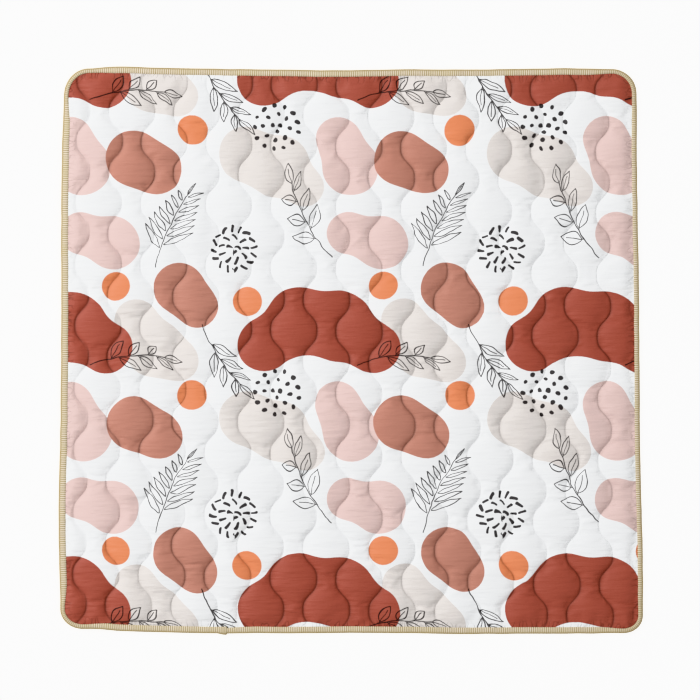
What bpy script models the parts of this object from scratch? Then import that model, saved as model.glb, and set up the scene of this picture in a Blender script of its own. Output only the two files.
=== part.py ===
"""Baby play mat: a square quilted panel with a ribbed tape folded over its edge.

The mat lies face up on the floor. +Z is up, +Y points to the mat's far edge, and the
origin is on the floor under the middle of the mat. All sizes are in metres.
"""

import math

import bmesh
import bpy
import numpy as np

# Driving sizes of the whole mat
MAT_WIDTH = 1.270  # nominal width, along X, outside the tape
MAT_LENGTH = 1.235  # nominal length, along Y, outside the tape
CORNER_RADII = {"near_left": 0.052, "near_right": 0.038, "far_right": 0.060, "far_left": 0.064}

# How far each edge wanders outwards from its straight line, as the soft edge lies.
# Share runs from left to right on the near and far edges, from near to far on the others.
EDGE_WANDER = {
    "near": [
        {"share": 0.05, "out": -0.0077},
        {"share": 0.11, "out": -0.0028},
        {"share": 0.19, "out": -0.0001},
        {"share": 0.24, "out": 0.0018},
        {"share": 0.35, "out": 0.0017},
        {"share": 0.42, "out": 0.0020},
        {"share": 0.50, "out": 0.0010},
        {"share": 0.60, "out": 0.0018},
        {"share": 0.67, "out": 0.0032},
        {"share": 0.78, "out": 0.0032},
        {"share": 0.85, "out": 0.0028},
        {"share": 0.91, "out": 0.0025},
        {"share": 0.96, "out": 0.0015},
    ],
    "right": [
        {"share": 0.08, "out": 0.0069},
        {"share": 0.18, "out": 0.0051},
        {"share": 0.29, "out": 0.0013},
        {"share": 0.45, "out": -0.0007},
        {"share": 0.61, "out": -0.0020},
        {"share": 0.76, "out": -0.0052},
        {"share": 0.87, "out": -0.0068},
    ],
    "far": [
        {"share": 0.05, "out": 0.0002},
        {"share": 0.08, "out": 0.0036},
        {"share": 0.12, "out": 0.0045},
        {"share": 0.16, "out": 0.0026},
        {"share": 0.22, "out": 0.0009},
        {"share": 0.35, "out": -0.0016},
        {"share": 0.50, "out": -0.0034},
        {"share": 0.60, "out": -0.0013},
        {"share": 0.70, "out": -0.0017},
        {"share": 0.81, "out": -0.0004},
        {"share": 0.89, "out": 0.0009},
        {"share": 0.95, "out": -0.0009},
    ],
    "left": [
        {"share": 0.06, "out": -0.0002},
        {"share": 0.13, "out": 0.0024},
        {"share": 0.24, "out": 0.0034},
        {"share": 0.34, "out": 0.0002},
        {"share": 0.59, "out": -0.0023},
        {"share": 0.77, "out": -0.0024},
        {"share": 0.87, "out": -0.0044},
        {"share": 0.94, "out": -0.0078},
    ],
}

# The quilting: wavy seams that run from the near edge to the far one, each the mirror
# image of the next, so that the channels between them swell and narrow in turn.
SEAM_PITCH = 0.0715  # from one seam's middle line to the next
SEAM_SHIFT = -0.0155  # where the middle seam lies along X
SEAM_HALF_COUNT = 8  # seams on each side of the middle one
WAVE_LENGTH = 0.1360
WAVE_SWING = 0.0151  # to each side of a seam's middle line
WAVE_SQUARENESS = 0.08  # flattens the wave's turns and steepens its crossings
WAVE_PHASE = 0.35  # at the mat's middle, in radians
WAVE_SLANT = 1.02  # the phase falls by this many radians for each metre to the right
WAVE_DRIFT = (0.06, 0.143)  # waves lost with the square and the cube of the distance along Y
SEAM_FAN = 0.0011  # the seams spread towards the near edge by this share

# Heights above the floor
CREST_HEIGHT = 0.0158  # of a channel where it is widest
SEAM_HEIGHT = 0.0060  # at the stitching
RIM_HEIGHT = 0.0064  # of the panel where it goes under the tape
EDGE_TAPER = 0.028  # the padding thins over this width before the tape
NARROW_SHARE = 0.66  # a channel's rise where it is narrowest, as a share of its full rise
PUFF_ROUNDNESS = 0.60  # a power: lower is boxier

# How wide the tape shows from above on each edge, and round the corners
TAPE_WIDTHS = {"near": 0.0148, "right": 0.0116, "far": 0.0150, "left": 0.0160}
CORNER_TAPE_WIDTH = 0.0106
WIDTH_EASE = 0.05  # the width changes over this share of an edge, from each corner

# The panel's rim, inside the tape
RIM_INSET = 0.0032  # from the mat's outer edge to the panel's own edge
RIM_TOP = 0.0049
RIM_BOTTOM = 0.0024
LIP_ROOM_HEIGHT = 0.0021  # the panel's underside is raised this much over the tape
LIP_ROOM = 0.0009  # and this far in past the tape
FOOT_ROOM = 0.0016  # the panel's flat underside begins this far in past the tape

# The tape's section, going round it: each point lies in from the mat's edge by its inset
# and by its share of the tape's width there
TAPE_SECTION = [
    {"inset": -0.0003, "share": 1.00, "height": 0.0069, "part": "upper lip, inside"},
    {"inset": -0.0003, "share": 1.00, "height": 0.0082, "part": "upper lip, outside"},
    {"inset": 0.0, "share": 0.72, "height": 0.0084, "part": "upper lip, outside"},
    {"inset": 0.0, "share": 0.42, "height": 0.0080, "part": "upper lip, outside"},
    {"inset": 0.0030, "share": 0.0, "height": 0.0071, "part": "fold"},
    {"inset": 0.0009, "share": 0.0, "height": 0.0057, "part": "fold"},
    {"inset": 0.0000, "share": 0.0, "height": 0.0038, "part": "fold"},
    {"inset": 0.0004, "share": 0.0, "height": 0.0019, "part": "fold"},
    {"inset": 0.0016, "share": 0.0, "height": 0.0005, "part": "fold"},
    {"inset": 0.0034, "share": 0.0, "height": 0.0000, "part": "lower lip, outside"},
    {"inset": -0.0003, "share": 1.00, "height": 0.0000, "part": "lower lip, outside"},
    {"inset": -0.0003, "share": 1.00, "height": 0.0016, "part": "lower lip, inside"},
    {"inset": 0.0021, "share": 0.0, "height": 0.0019, "part": "inside the fold"},
    {"inset": 0.0021, "share": 0.0, "height": 0.0054, "part": "inside the fold"},
]

# The tape's cut end lies over its start, on the near edge
TAPE_END_SHARE = 0.2890  # its place along the near edge, from the left
TAPE_OVERLAP = 0.024  # how long the doubled stretch is
TAPE_END_OUT = 0.0032  # how far the end stands out past the edge
TAPE_END_RISE = 0.0012  # how much thicker the tape is at its end
TAPE_END_STEP = 0.0008  # the cut end drops off within this length

# How finely the panel and the tape are divided
CELLS_PER_CHANNEL = 3
SHOULDER = 0.27  # where a puff's shoulder lies, as a share of the channel's width
ROWS_PER_WAVE = 7
EDGE_ROWS = [0.0, 0.003, 0.010, 0.022, 0.038, 0.055]  # distance from the near and far tape
LEFT_CELLS = 3
RIGHT_CELLS = 4
LEAST_CELL = 0.0016
SIDE_STATIONS = 22
CORNER_STATIONS = 7

HALF_X = MAT_WIDTH / 2
HALF_Y = MAT_LENGTH / 2


def smooth_step(value):
    """Goes from 0 to 1 with level ends."""
    value = min(max(value, 0.0), 1.0)
    return value * value * (3 - 2 * value)


def wander(side, share):
    """How far an edge wanders outwards at a share of its length, smoothly between the rows."""
    knots = [row["share"] for row in EDGE_WANDER[side]]
    outs = [row["out"] for row in EDGE_WANDER[side]]
    slopes = np.gradient(outs, knots)
    slopes[0] = slopes[-1] = 0.0
    share = min(max(share, knots[0]), knots[-1])
    index = min(max(int(np.searchsorted(knots, share)) - 1, 0), len(knots) - 2)
    span = knots[index + 1] - knots[index]
    part = (share - knots[index]) / span
    eased = smooth_step(part)
    bend = part * (1 - part) * (slopes[index] * (1 - part) - slopes[index + 1] * part) * span
    return outs[index] + (outs[index + 1] - outs[index]) * eased + bend


def tape_width(side, share):
    """The tape's width at a share of an edge, narrower at the corners."""
    first, last = side_limits(side)
    eased = smooth_step(min(share - first, last - share) / WIDTH_EASE)
    return CORNER_TAPE_WIDTH + (TAPE_WIDTHS[side] - CORNER_TAPE_WIDTH) * eased


def edge_point(side, share):
    """(point, outward direction) on an edge, with its wander, and no rounding of corners."""
    along_x = (2 * share - 1) * HALF_X
    along_y = (2 * share - 1) * HALF_Y
    base, outward = {
        "near": ((along_x, -HALF_Y), (0, -1)),
        "right": ((HALF_X, along_y), (1, 0)),
        "far": ((along_x, HALF_Y), (0, 1)),
        "left": ((-HALF_X, along_y), (-1, 0)),
    }[side]
    base = np.array(base, float)
    outward = np.array(outward, float)
    return base + outward * wander(side, share), outward


# The outline goes anticlockwise. Each corner follows its side, and "forward" says
# whether the outline runs along that side in the direction of its share.
ROUND_TRIP = [
    {"side": "near", "forward": True, "corner": "near_right", "next": "right"},
    {"side": "right", "forward": True, "corner": "far_right", "next": "far"},
    {"side": "far", "forward": False, "corner": "far_left", "next": "left"},
    {"side": "left", "forward": False, "corner": "near_left", "next": "near"},
]
CORNER_SIGNS = {"near_left": (-1, -1), "near_right": (1, -1), "far_right": (1, 1), "far_left": (-1, 1)}
FIRST_CORNER = {"near": "near_left", "right": "near_right", "far": "far_left", "left": "near_left"}
LAST_CORNER = {"near": "near_right", "right": "far_right", "far": "far_right", "left": "far_left"}


def side_limits(side):
    """The shares at which a side's corners begin."""
    length = MAT_WIDTH if side in ("near", "far") else MAT_LENGTH
    first = CORNER_RADII[FIRST_CORNER[side]] / length
    last = 1 - CORNER_RADII[LAST_CORNER[side]] / length
    return first, last


def corner_points(leg, steps):
    """Points of the mat's edge round the corner that follows a leg of the outline."""
    radius = CORNER_RADII[leg["corner"]]
    sign_x, sign_y = CORNER_SIGNS[leg["corner"]]
    centre = np.array((sign_x * (HALF_X - radius), sign_y * (HALF_Y - radius)))
    limits = side_limits(leg["side"])
    leaving = wander(leg["side"], limits[1] if leg["forward"] else limits[0])
    next_limits = side_limits(leg["next"])
    next_forward = next(row["forward"] for row in ROUND_TRIP if row["side"] == leg["next"])
    arriving = wander(leg["next"], next_limits[0] if next_forward else next_limits[1])
    _, direction = edge_point(leg["side"], 0.5)
    start = math.atan2(direction[1], direction[0])
    stations = []
    for step in range(steps + 1):
        angle = start + step / steps * math.pi / 2
        reach = radius + leaving + (arriving - leaving) * smooth_step(step / steps)
        outward = np.array((math.cos(angle), math.sin(angle)))
        stations.append((centre + reach * outward, outward, CORNER_TAPE_WIDTH))
    return stations


def side_points(side, shares):
    """The same for points along a side."""
    return [(*edge_point(side, share), tape_width(side, share)) for share in shares]


def outline(side_steps, corner_steps, extra_shares=()):
    """The mat's edge, anticlockwise: (point, outward direction, tape's width) in turn."""
    stations = []
    for leg in ROUND_TRIP:
        shares = list(np.linspace(*side_limits(leg["side"]), side_steps + 1))
        if leg["side"] == "near":
            shares = sorted(shares + list(extra_shares))
        if not leg["forward"]:
            shares = shares[::-1]
        stations += side_points(leg["side"], shares)[:-1]
        stations += corner_points(leg, corner_steps)[:-1]
    return stations


def centring_shift():
    """Moves the uneven outline so that the middle of its extent is the origin."""
    points = np.array([point for point, _, _ in outline(SIDE_STATIONS, CORNER_STATIONS)])
    return -(points.min(axis=0) + points.max(axis=0)) / 2


SHIFT = centring_shift()


def seam_x(number, y):
    """Where a seam lies at a distance y along the mat. Seam 0 is the middle one."""
    middle = SEAM_SHIFT + number * (SEAM_PITCH - SEAM_FAN * y)
    waves = y / WAVE_LENGTH + WAVE_DRIFT[0] * y**2 + WAVE_DRIFT[1] * y**3
    angle = WAVE_PHASE - 2 * math.pi * waves - WAVE_SLANT * middle
    wave = math.sin(angle) + WAVE_SQUARENESS * math.sin(3 * angle)
    wave /= 1 - WAVE_SQUARENESS
    return middle + (WAVE_SWING if number % 2 == 0 else -WAVE_SWING) * wave


def quilt_height(x, y, edge_distance):
    """Height of the panel's top, from the channel it is in and its distance to the tape."""
    number = round((x - SEAM_SHIFT) / SEAM_PITCH)
    while seam_x(number, y) > x:
        number -= 1
    while seam_x(number + 1, y) <= x:
        number += 1
    left, right = seam_x(number, y), seam_x(number + 1, y)
    width = right - left
    across = (x - left) / width
    narrow = SEAM_PITCH - 2 * WAVE_SWING
    wide = SEAM_PITCH + 2 * WAVE_SWING
    fullness = NARROW_SHARE + (1 - NARROW_SHARE) * smooth_step((width - narrow) / (wide - narrow))
    rise = (CREST_HEIGHT - SEAM_HEIGHT) * fullness
    puff = SEAM_HEIGHT + rise * max(math.sin(math.pi * across), 0.0) ** PUFF_ROUNDNESS
    return RIM_HEIGHT + (puff - RIM_HEIGHT) * smooth_step(edge_distance / EDGE_TAPER)


def panel_edge_y(side, x):
    """Where the near or far edge of the panel's top meets the tape."""
    share = (x + HALF_X) / MAT_WIDTH
    point, outward = edge_point(side, share)
    return (point - outward * tape_width(side, share))[1]


def panel_border(side):
    """The left or right border of the panel's top, as rows of (share of the way from the
    near edge to the far one, x, tape's width)."""
    fine = 60
    legs = {leg["side"]: leg for leg in ROUND_TRIP}
    straight = side_points(side, np.linspace(*side_limits(side), fine))
    if side == "right":
        stations = corner_points(legs["near"], fine)[:-1] + straight
        stations += corner_points(legs["right"], fine)[1:]
    else:
        stations = corner_points(legs["left"], fine)[:0:-1] + straight
        stations += corner_points(legs["far"], fine)[-2::-1]
    rows = []
    for point, outward, width in stations:
        x, y = point - outward * width
        low, high = panel_edge_y("near", x), panel_edge_y("far", x)
        rows.append(((y - low) / (high - low), x, width))
    rows = np.array(rows)
    rows[:, 0] = np.maximum.accumulate(np.clip(rows[:, 0], 0, 1))
    return rows


def row_shares():
    """Rows of the panel's grid, from the near edge (0) to the far edge (1)."""
    length = MAT_LENGTH - TAPE_WIDTHS["near"] - TAPE_WIDTHS["far"]
    start = [distance / length for distance in EDGE_ROWS]
    middle = round((length - 2 * EDGE_ROWS[-1]) * ROWS_PER_WAVE / WAVE_LENGTH)
    inner = list(np.linspace(start[-1], 1 - start[-1], middle + 1))[1:-1]
    return start + inner + [1 - share for share in reversed(start)]


def column_places(y, left, right):
    """Where the grid's columns cross a row: on each seam, and between them."""
    seams = [seam_x(number, y) for number in range(-SEAM_HALF_COUNT, SEAM_HALF_COUNT + 1)]
    steps = [0.0, SHOULDER, 1 - SHOULDER]
    places = [left + (seams[0] - left) * part / LEFT_CELLS for part in range(LEFT_CELLS)]
    for start, end in zip(seams, seams[1:]):
        places += [start + (end - start) * step for step in steps]
    places += [seams[-1] + (right - seams[-1]) * part / RIGHT_CELLS for part in range(RIGHT_CELLS + 1)]
    last = len(places) - 1
    return [
        min(max(place, left + index * LEAST_CELL), right - (last - index) * LEAST_CELL)
        for index, place in enumerate(places)
    ]


def new_object(name, mesh_builder, colour, roughness):
    """Makes an object with its own plain material from a filled bmesh."""
    mesh = bpy.data.meshes.new(name)
    bmesh.ops.recalc_face_normals(mesh_builder, faces=mesh_builder.faces)
    mesh_builder.to_mesh(mesh)
    mesh_builder.free()
    material = bpy.data.materials.new(name)
    material.use_nodes = True
    shader = material.node_tree.nodes["Principled BSDF"]
    shader.inputs["Base Color"].default_value = (*colour, 1)
    shader.inputs["Roughness"].default_value = roughness
    shader.inputs["Metallic"].default_value = 0.0
    mesh.materials.append(material)
    mesh.shade_smooth()
    mesh.set_sharp_from_angle(angle=math.radians(50))
    built = bpy.data.objects.new(name, mesh)
    bpy.context.scene.collection.objects.link(built)
    return built


def outward_directions(loop):
    """The outward direction at each point of a closed anticlockwise loop."""
    before = loop - np.roll(loop, 1, axis=0)
    after = np.roll(loop, -1, axis=0) - loop
    before /= np.linalg.norm(before, axis=1)[:, None]
    after /= np.linalg.norm(after, axis=1)[:, None]
    tangent = before + after
    tangent /= np.linalg.norm(tangent, axis=1)[:, None]
    return np.stack((tangent[:, 1], -tangent[:, 0]), axis=1)


def build_panel():
    """The quilted panel: puffed on top, thin at its rim, and flat underneath."""
    borders = {side: panel_border(side) for side in ("left", "right")}
    builder = bmesh.new()
    grid = []
    for share in row_shares():
        left, right = (np.interp(share, rows[:, 0], rows[:, 1]) for rows in borders.values())
        middle_y = (share - 0.5) * (MAT_LENGTH - TAPE_WIDTHS["near"] - TAPE_WIDTHS["far"])
        line = []
        for x in column_places(middle_y, left, right):
            low, high = panel_edge_y("near", x), panel_edge_y("far", x)
            y = low + (high - low) * share
            z = quilt_height(x, y, min(x - left, right - x, y - low, high - y))
            line.append(builder.verts.new((x + SHIFT[0], y + SHIFT[1], z)))
        grid.append(line)
    for near_line, far_line in zip(grid, grid[1:]):
        for column in range(len(near_line) - 1):
            corners = near_line[column], near_line[column + 1], far_line[column + 1], far_line[column]
            builder.faces.new(corners)
    border = grid[0] + [line[-1] for line in grid[1:-1]] + grid[-1][::-1]
    border += [line[0] for line in grid[-2:0:-1]]
    places = np.array([vertex.co[:2] for vertex in border])
    outwards = outward_directions(places)
    shares = row_shares()[1:-1]
    up, down = (np.interp(shares, rows[:, 0], rows[:, 2]) for rows in (borders["right"], borders["left"]))
    across = [(vertex.co[0] - SHIFT[0] + HALF_X) / MAT_WIDTH for vertex in grid[0] + grid[-1][::-1]]
    columns = len(grid[0])
    widths = [tape_width("near", share) for share in across[:columns]] + list(up)
    widths += [tape_width("far", share) for share in across[columns:]] + list(down[::-1])
    widths = np.array(widths)
    rings = [
        (widths - RIM_INSET, RIM_TOP),
        (widths - RIM_INSET, RIM_BOTTOM),
        (np.full(len(widths), -LIP_ROOM), LIP_ROOM_HEIGHT),
        (np.full(len(widths), -FOOT_ROOM), 0.0),
    ]
    previous = border
    for distances, height in rings:
        moved = places + outwards * distances[:, None]
        ring = [builder.verts.new((x, y, height)) for x, y in moved]
        for index in range(len(ring)):
            after = (index + 1) % len(ring)
            builder.faces.new((previous[index], ring[index], ring[after], previous[after]))
        previous = ring
    builder.faces.new(previous)
    return new_object("quilted_panel", builder, (0.86, 0.80, 0.77), 0.75)


def tape_growth(point):
    """How much the doubled end of the tape stands out at a point of the near edge."""
    end_x = (2 * TAPE_END_SHARE - 1) * HALF_X
    if point[1] > 0 or not end_x - TAPE_OVERLAP < point[0] < end_x + TAPE_END_STEP / 2:
        return 0.0
    return smooth_step((point[0] - end_x + TAPE_OVERLAP) / TAPE_OVERLAP)


def build_tape():
    """The ribbed tape: a folded section taken round the mat, thicker at its lapped end."""
    reach = TAPE_OVERLAP / MAT_WIDTH
    step = TAPE_END_STEP / MAT_WIDTH
    lap = [TAPE_END_SHARE - reach * part for part in (1.0, 0.66, 0.33, 0.0)]
    extra = lap + [TAPE_END_SHARE + step]
    edge = outline(SIDE_STATIONS, CORNER_STATIONS, extra)
    outwards = outward_directions(np.array([point for point, _, _ in edge]))
    builder = bmesh.new()
    stations = []
    for (point, _, width), outward in zip(edge, outwards):
        growth = tape_growth(point)
        ring = []
        for row in TAPE_SECTION:
            inset = row["inset"] + row["share"] * width
            grows = row["part"] in ("upper lip, outside", "fold")
            out = TAPE_END_OUT * growth * (1 - inset / width) if grows else 0.0
            rise = TAPE_END_RISE * growth if row["part"] == "upper lip, outside" else 0.0
            x, y = point + outward * (out - inset) + SHIFT
            ring.append(builder.verts.new((x, y, row["height"] + rise)))
        stations.append(ring)
    for ring, following in zip(stations, stations[1:] + stations[:1]):
        for index in range(len(ring)):
            after = (index + 1) % len(ring)
            builder.faces.new((ring[index], following[index], following[after], ring[after]))
    return new_object("edge_binding", builder, (0.60, 0.50, 0.32), 0.85)


for leftover in list(bpy.data.objects):
    bpy.data.objects.remove(leftover)
build_panel()
build_tape()
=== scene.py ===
import math
import bmesh
import bpy
import numpy as np
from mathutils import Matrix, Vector


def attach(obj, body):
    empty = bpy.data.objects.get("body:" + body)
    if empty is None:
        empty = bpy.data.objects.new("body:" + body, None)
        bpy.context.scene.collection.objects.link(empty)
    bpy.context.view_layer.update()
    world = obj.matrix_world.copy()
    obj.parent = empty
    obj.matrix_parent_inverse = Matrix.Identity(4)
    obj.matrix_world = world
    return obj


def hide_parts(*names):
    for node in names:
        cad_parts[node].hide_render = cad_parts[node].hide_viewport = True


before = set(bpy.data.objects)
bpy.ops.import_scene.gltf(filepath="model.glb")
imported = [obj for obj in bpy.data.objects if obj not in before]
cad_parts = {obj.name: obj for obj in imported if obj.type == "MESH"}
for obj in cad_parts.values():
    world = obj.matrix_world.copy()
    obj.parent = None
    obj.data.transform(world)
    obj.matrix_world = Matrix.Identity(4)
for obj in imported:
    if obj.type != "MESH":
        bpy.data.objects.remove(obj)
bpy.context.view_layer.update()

# The mat's outline, as the soft edge lies. Lengths are in metres.
mat = {
    "width": 1.270,
    "length": 1.235,
    "cornerRadii": {"nearLeft": 0.052, "nearRight": 0.038, "farRight": 0.060, "farLeft": 0.064},
    "tapeWidths": {"near": 0.0148, "right": 0.0116, "far": 0.0150, "left": 0.0160},
    "cornerTapeWidth": 0.0106,
    "tapeWidthEase": 0.05,
}
# (share of the edge, how far it wanders outwards in mm)
edgeWander = {
    "near": [(0.05, -7.7), (0.11, -2.8), (0.19, -0.1), (0.24, 1.8), (0.35, 1.7), (0.42, 2.0), (0.50, 1.0),
             (0.60, 1.8), (0.67, 3.2), (0.78, 3.2), (0.85, 2.8), (0.91, 2.5), (0.96, 1.5)],
    "right": [(0.08, 6.9), (0.18, 5.1), (0.29, 1.3), (0.45, -0.7), (0.61, -2.0), (0.76, -5.2), (0.87, -6.8)],
    "far": [(0.05, 0.2), (0.08, 3.6), (0.12, 4.5), (0.16, 2.6), (0.22, 0.9), (0.35, -1.6), (0.50, -3.4),
            (0.60, -1.3), (0.70, -1.7), (0.81, -0.4), (0.89, 0.9), (0.95, -0.9)],
    "left": [(0.06, -0.2), (0.13, 2.4), (0.24, 3.4), (0.34, 0.2), (0.59, -2.3), (0.77, -2.4), (0.87, -4.4),
             (0.94, -7.8)],
}
# The mirrored wavy seams
quilt = {
    "seamPitch": 0.0715,
    "seamShift": -0.0155,
    "seamsEachSide": 8,
    "waveLength": 0.1360,
    "waveSwing": 0.0151,
    "waveSquareness": 0.08,
    "wavePhase": 0.35,
    "waveSlant": 1.02,
    "waveDrift": (0.06, 0.143),
    "seamFan": 0.0011,
    "crestHeight": 0.0134,
    "seamHeight": 0.0056,
    "rimHeight": 0.0072,
    "edgeTaper": 0.026,
    "narrowShare": 0.62,
    "puffPower": 0.90,
}
halfX = mat["width"] / 2
halfY = mat["length"] / 2


def smoothStep(value):
    value = np.clip(value, 0.0, 1.0)
    return value * value * (3 - 2 * value)


def wander(side, share):
    knots = np.array([row[0] for row in edgeWander[side]])
    outs = np.array([row[1] for row in edgeWander[side]]) / 1000
    slopes = np.gradient(outs, knots)
    slopes[0] = slopes[-1] = 0.0
    share = np.clip(share, knots[0], knots[-1])
    index = np.clip(np.searchsorted(knots, share) - 1, 0, len(knots) - 2)
    span = knots[index + 1] - knots[index]
    part = (share - knots[index]) / span
    bend = part * (1 - part) * (slopes[index] * (1 - part) - slopes[index + 1] * part) * span
    return outs[index] + (outs[index + 1] - outs[index]) * smoothStep(part) + bend


cornerOf = {"near": ("nearLeft", "nearRight"), "right": ("nearRight", "farRight"),
            "far": ("farLeft", "farRight"), "left": ("nearLeft", "farLeft")}


def sideLimits(side):
    length = mat["width"] if side in ("near", "far") else mat["length"]
    first, last = (mat["cornerRadii"][corner] / length for corner in cornerOf[side])
    return first, 1 - last


def tapeWidth(side, share):
    first, last = sideLimits(side)
    eased = smoothStep(np.minimum(share - first, last - share) / mat["tapeWidthEase"])
    return mat["cornerTapeWidth"] + (mat["tapeWidths"][side] - mat["cornerTapeWidth"]) * eased


def sideStation(side, share):
    along = (2 * share - 1) * (halfX if side in ("near", "far") else halfY)
    out = wander(side, share)
    place = {"near": (along, -halfY - out), "right": (halfX + out, along),
             "far": (along, halfY + out), "left": (-halfX - out, along)}[side]
    outward = {"near": (0, -1), "right": (1, 0), "far": (0, 1), "left": (-1, 0)}[side]
    return np.array(place), np.array(outward, float), float(tapeWidth(side, share))


# The outline runs anticlockwise: side, whether along its share, corner after it, next side
roundTrip = [("near", True, "nearRight", "right"), ("right", True, "farRight", "far"),
             ("far", False, "farLeft", "left"), ("left", False, "nearLeft", "near")]
cornerSigns = {"nearLeft": (-1, -1), "nearRight": (1, -1), "farRight": (1, 1), "farLeft": (-1, 1)}
runsForward = {row[0]: row[1] for row in roundTrip}


def cornerStations(leg, steps):
    side, forward, corner, following = leg
    radius = mat["cornerRadii"][corner]
    centre = np.array((cornerSigns[corner][0] * (halfX - radius), cornerSigns[corner][1] * (halfY - radius)))
    leaving = wander(side, sideLimits(side)[1 if forward else 0])
    arriving = wander(following, sideLimits(following)[0 if runsForward[following] else 1])
    start = {"near": -0.5, "right": 0.0, "far": 0.5, "left": 1.0}[side] * math.pi
    stations = []
    for step in range(steps + 1):
        angle = start + step / steps * math.pi / 2
        outward = np.array((math.cos(angle), math.sin(angle)))
        reach = radius + leaving + (arriving - leaving) * smoothStep(step / steps)
        stations.append((centre + reach * outward, outward, mat["cornerTapeWidth"]))
    return stations


def outline(sideSteps, cornerSteps):
    stations = []
    for leg in roundTrip:
        shares = np.linspace(*sideLimits(leg[0]), sideSteps + 1)
        shares = shares if leg[1] else shares[::-1]
        stations += [sideStation(leg[0], share) for share in shares[:-1]]
        stations += cornerStations(leg, cornerSteps)[:-1]
    return stations


edgePoints = np.array([station[0] for station in outline(22, 7)])
centring = -(edgePoints.min(axis=0) + edgePoints.max(axis=0)) / 2


def seamX(number, y):
    middle = quilt["seamShift"] + number * (quilt["seamPitch"] - quilt["seamFan"] * y)
    waves = y / quilt["waveLength"] + quilt["waveDrift"][0] * y**2 + quilt["waveDrift"][1] * y**3
    angle = quilt["wavePhase"] - 2 * math.pi * waves - quilt["waveSlant"] * middle
    wave = (np.sin(angle) + quilt["waveSquareness"] * np.sin(3 * angle)) / (1 - quilt["waveSquareness"])
    return middle + np.where(number % 2 == 0, 1, -1) * quilt["waveSwing"] * wave


def latticeNoise(x, y, seed):
    # smooth value noise from a seeded lattice, the same on each run
    table = np.random.default_rng(seed).uniform(-1, 1, (256, 256))
    col, row = np.floor(x).astype(int), np.floor(y).astype(int)
    fx, fy = smoothStep(x - col), smoothStep(y - row)
    low = table[row % 256, col % 256] * (1 - fx) + table[row % 256, (col + 1) % 256] * fx
    high = table[(row + 1) % 256, col % 256] * (1 - fx) + table[(row + 1) % 256, (col + 1) % 256] * fx
    return low + (high - low) * fy


def panelEdgeY(side, x, inset=0.0):
    share = (x + halfX) / mat["width"]
    sign = -1 if side == "near" else 1
    return sign * (halfY + wander(side, share) - tapeWidth(side, share) - inset)


def panelBorder(side, inset=0.0):
    # rows of (share of the way from the near edge to the far one, x, tape's width)
    fine = 60
    straight = [sideStation(side, share) for share in np.linspace(*sideLimits(side), fine)]
    if side == "right":
        before, after = cornerStations(roundTrip[0], fine), cornerStations(roundTrip[1], fine)
        stations = before[:-1] + straight + after[1:]
    else:
        before, after = cornerStations(roundTrip[3], fine), cornerStations(roundTrip[2], fine)
        stations = before[:0:-1] + straight + after[-2::-1]
    rows = []
    for point, outward, width in stations:
        x, y = point - outward * (width + inset)
        low, high = panelEdgeY("near", x, inset), panelEdgeY("far", x, inset)
        rows.append(((y - low) / (high - low), x, width))
    rows = np.array(rows)
    rows[:, 0] = np.maximum.accumulate(np.clip(rows[:, 0], 0, 1))
    return rows


def clothGrid(detail):
    # places of a grid whose columns follow the seams and whose rims follow the tape
    inset = detail["inset"]
    borders = [panelBorder(side, inset) for side in ("left", "right")]
    length = mat["length"] - mat["tapeWidths"]["near"] - mat["tapeWidths"]["far"] - 2 * inset
    starts = [distance / length for distance in detail["edgeRows"]]
    middle = round((1 - 2 * starts[-1]) * length / detail["rowStep"])
    shares = np.array(starts + list(np.linspace(starts[-1], 1 - starts[-1], middle + 1))[1:-1]
                      + [1 - share for share in reversed(starts)])
    left, right = (np.interp(shares, rows[:, 0], rows[:, 1]) for rows in borders)
    widthsLeft, widthsRight = (np.interp(shares, rows[:, 0], rows[:, 2]) for rows in borders)
    rowY = (shares - 0.5) * length
    count = quilt["seamsEachSide"]
    seams = [seamX(number, rowY) for number in range(-count, count + 1)]
    columns = [left + (seams[0] - left) * part for part in np.linspace(0, 1, detail["leftCells"] + 1)[:-1]]
    for start, end in zip(seams, seams[1:]):
        columns += [start + (end - start) * step for step in detail["steps"]]
    lastWidth = np.maximum(right, seams[-1] + detail["leastChannel"]) - seams[-1]
    columns += [seams[-1] + lastWidth * step for step in detail["steps"] + [1.0]]
    x = np.array(columns).T
    index = np.arange(x.shape[1])
    x = np.maximum(x, left[:, None] + index * detail["leastCell"])
    x = np.minimum(x, right[:, None] - index[::-1] * detail["leastCell"])
    low, high = panelEdgeY("near", x, inset), panelEdgeY("far", x, inset)
    y = low + (high - low) * shares[:, None]
    rim = np.minimum(np.minimum(x - left[:, None], right[:, None] - x), np.minimum(y - low, high - y))
    around = np.concatenate([tapeWidth("near", (x[0] + halfX) / mat["width"]), widthsRight[1:-1],
                             tapeWidth("far", (x[-1][::-1] + halfX) / mat["width"]), widthsLeft[-2:0:-1]])
    return x, y, rim, around


def channelPlace(x, y):
    # which channel a point is in: its width, and the share of the way across
    count = quilt["seamsEachSide"] + 2
    lines = np.array([seamX(number, y) for number in range(-count, count + 1)])
    index = (lines <= x).sum(axis=0) - 1
    left = np.take_along_axis(lines, index[None], 0)[0]
    right = np.take_along_axis(lines, index[None] + 1, 0)[0]
    return index, left, right


wrinkles = {
    "crossHeight": 0.00105,  # long low wrinkles across the channels
    "crossRate": (15.0, 135.0),
    "crossSlant": 0.10,
    "puckerHeight": 0.00060,  # short ones that start at the seams
    "puckerReach": 0.011,
    "puckerRate": 150.0,
    "pleatHeight": 0.0021,  # pleats against the tape
    "pleatReach": 0.012,
    "pleatRate": 85.0,
    "creaseDepth": 0.0004,
    "creaseWidth": 0.0014,
}


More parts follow.
